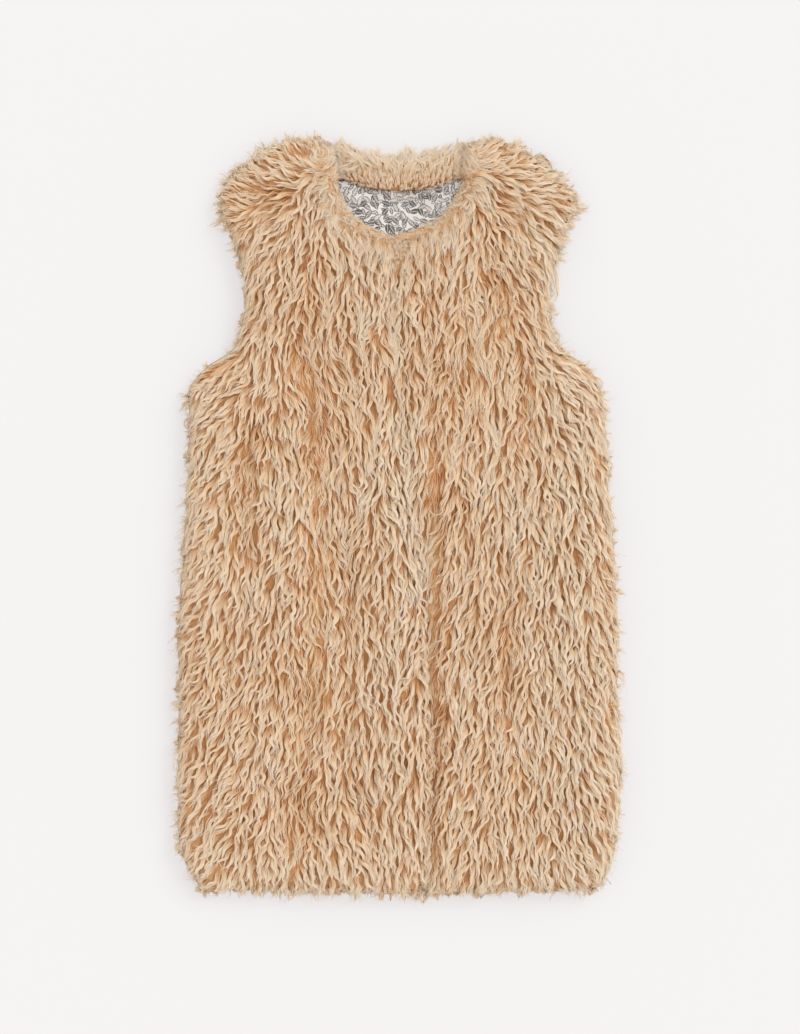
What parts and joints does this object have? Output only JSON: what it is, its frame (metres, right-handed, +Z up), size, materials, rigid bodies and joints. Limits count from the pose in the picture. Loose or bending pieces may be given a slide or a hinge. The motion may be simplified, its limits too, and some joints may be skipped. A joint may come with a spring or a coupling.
{
  "type": "faux fur vest",
  "caption": "Long sleeveless vest of curly long-pile faux fur with a printed lining, laid flat and closed edge to edge.",
  "frame": {"origin": "on the surface that the vest lies on, under the middle of its box", "axes": "+Y from the hem to the neck, +Z up out of the front of the vest, +X towards the wearer's left side"},
  "size_m": [0.5366, 0.9116, 0.0541],
  "materials": {
    "fur": "curly long pile, tan with cream tips",
    "lining": "smooth satin, small grey print on off-white"
  },
  "bodies": {
    "root": {"front_right": "fur", "front_left": "fur", "back": "fur", "back_lining": "lining"}
  },
  "joints": []
}
